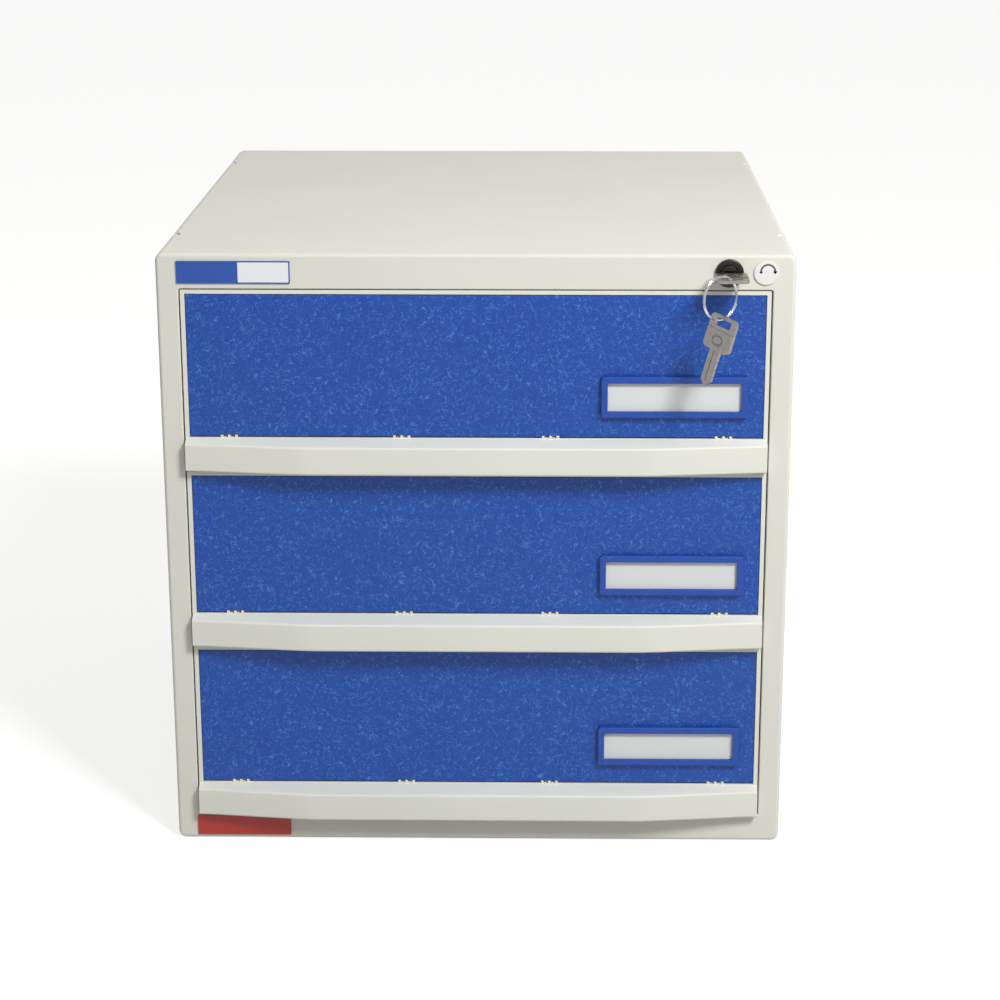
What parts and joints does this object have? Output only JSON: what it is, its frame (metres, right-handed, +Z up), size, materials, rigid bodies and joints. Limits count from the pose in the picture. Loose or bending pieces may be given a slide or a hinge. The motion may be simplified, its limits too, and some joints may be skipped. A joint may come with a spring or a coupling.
{
  "type": "lockable drawer box",
  "caption": "Desk-top drawer box: pale plastic case, full-width drawers with blue inserts, pull lips and label holders, and a cam lock that drops a bar to hold them shut.",
  "frame": {"origin": "middle of the underside, which rests on the desk", "axes": "+Z up, +Y towards the back of the case, +X to the right as seen from the front"},
  "size_m": [0.4, 0.4394, 0.398],
  "materials": {
    "pale_plastic": "satin moulded",
    "tray_plastic": "satin moulded",
    "blue_plastic": "fine-grained satin",
    "card_paper": "plain card",
    "white_plastic": "smooth",
    "red_vinyl": "smooth",
    "runner_plastic": "satin moulded",
    "lock_metal": "blackened",
    "plated_steel": "zinc plated",
    "key_metal": "nickel plated",
    "ring_chrome": "polished"
  },
  "bodies": {
    "case": {"front_frame": "pale_plastic", "top_cover": "pale_plastic", "base_panel": "pale_plastic", "left_side_panel": "pale_plastic", "right_side_panel": "pale_plastic", "back_panel": "pale_plastic", "back_screw_left_1": "plated_steel", "back_screw_left_2": "plated_steel", "back_screw_left_3": "plated_steel", "back_screw_right_1": "plated_steel", "back_screw_right_2": "plated_steel", "back_screw_right_3": "plated_steel", "runner_1_left": "runner_plastic", "runner_1_right": "runner_plastic", "runner_2_left": "runner_plastic", "runner_2_right": "runner_plastic", "runner_3_left": "runner_plastic", "runner_3_right": "runner_plastic", "lock_housing": "lock_metal", "lock_nut": "plated_steel", "bar_guide_upper": "runner_plastic", "bar_guide_lower": "runner_plastic", "turn_disc": "white_plastic", "name_plate": "blue_plastic", "lower_plate": "red_vinyl"},
    "drawer_1": {"drawer_1_front": "pale_plastic", "drawer_1_insert": "blue_plastic", "drawer_1_label_holder": "blue_plastic", "drawer_1_tray": "tray_plastic", "drawer_1_catch": "plated_steel"},
    "drawer_2": {"drawer_2_front": "pale_plastic", "drawer_2_insert": "blue_plastic", "drawer_2_label_holder": "blue_plastic", "drawer_2_tray": "tray_plastic", "drawer_2_catch": "plated_steel"},
    "drawer_3": {"drawer_3_front": "pale_plastic", "drawer_3_insert": "blue_plastic", "drawer_3_label_holder": "blue_plastic", "drawer_3_tray": "tray_plastic", "drawer_3_catch": "plated_steel"},
    "label_card_1": {"drawer_1_label_card": "card_paper"},
    "label_card_2": {"drawer_2_label_card": "card_paper"},
    "label_card_3": {"drawer_3_label_card": "card_paper"},
    "lock": {"lock_plug": "lock_metal", "lock_cam": "plated_steel", "cam_screw": "plated_steel"},
    "locking_bar": {"locking_bar": "plated_steel"},
    "key": {"key": "key_metal"},
    "key_ring": {"key_ring": "ring_chrome"},
    "spare_key": {"spare_key": "key_metal"}
  },
  "joints": [
    {"name": "drawer_1_slide", "type": "slide", "parent": "case", "child": "drawer_1", "axis": [0, -1, 0], "range_m": [0, 0.3]},
    {"name": "drawer_2_slide", "type": "slide", "parent": "case", "child": "drawer_2", "axis": [0, -1, 0], "range_m": [0, 0.3]},
    {"name": "drawer_3_slide", "type": "slide", "parent": "case", "child": "drawer_3", "axis": [0, -1, 0], "range_m": [0, 0.3]},
    {"name": "card_1_slide", "type": "slide", "parent": "drawer_1", "child": "label_card_1", "axis": [0, 0, 1], "range_m": [0, 0.022]},
    {"name": "card_2_slide", "type": "slide", "parent": "drawer_2", "child": "label_card_2", "axis": [0, 0, 1], "range_m": [0, 0.022]},
    {"name": "card_3_slide", "type": "slide", "parent": "drawer_3", "child": "label_card_3", "axis": [0, 0, 1], "range_m": [0, 0.022]},
    {"name": "lock_turn", "type": "hinge", "parent": "case", "child": "lock", "pos_m": [0.1583, -0.2, 0.3864], "axis": [0, 1, 0], "range_deg": [0, 90]},
    {"name": "bar_slide", "type": "slide", "parent": "case", "child": "locking_bar", "axis": [0, 0, 1], "range_m": [-0.0108, 0]},
    {"name": "key_slide", "type": "slide", "parent": "lock", "child": "key", "axis": [0, -1, 0], "range_m": [0, 0.026]},
    {"name": "ring_swivel", "type": "hinge", "parent": "key", "child": "key_ring", "pos_m": [0.1583, -0.2225, 0.3864], "axis": [0, 0, 1], "range_deg": [-8, 25]},
    {"name": "spare_key_swing", "type": "hinge", "parent": "key_ring", "child": "spare_key", "pos_m": [0.15093, -0.22826, 0.3634], "axis": [0.788, 0.6157, 0], "range_deg": [-18, 18]}
  ],
  "couplings": [
    {"joint": "bar_slide", "follows": "lock_turn", "m_per_rad": -0.0068424}
  ]
}
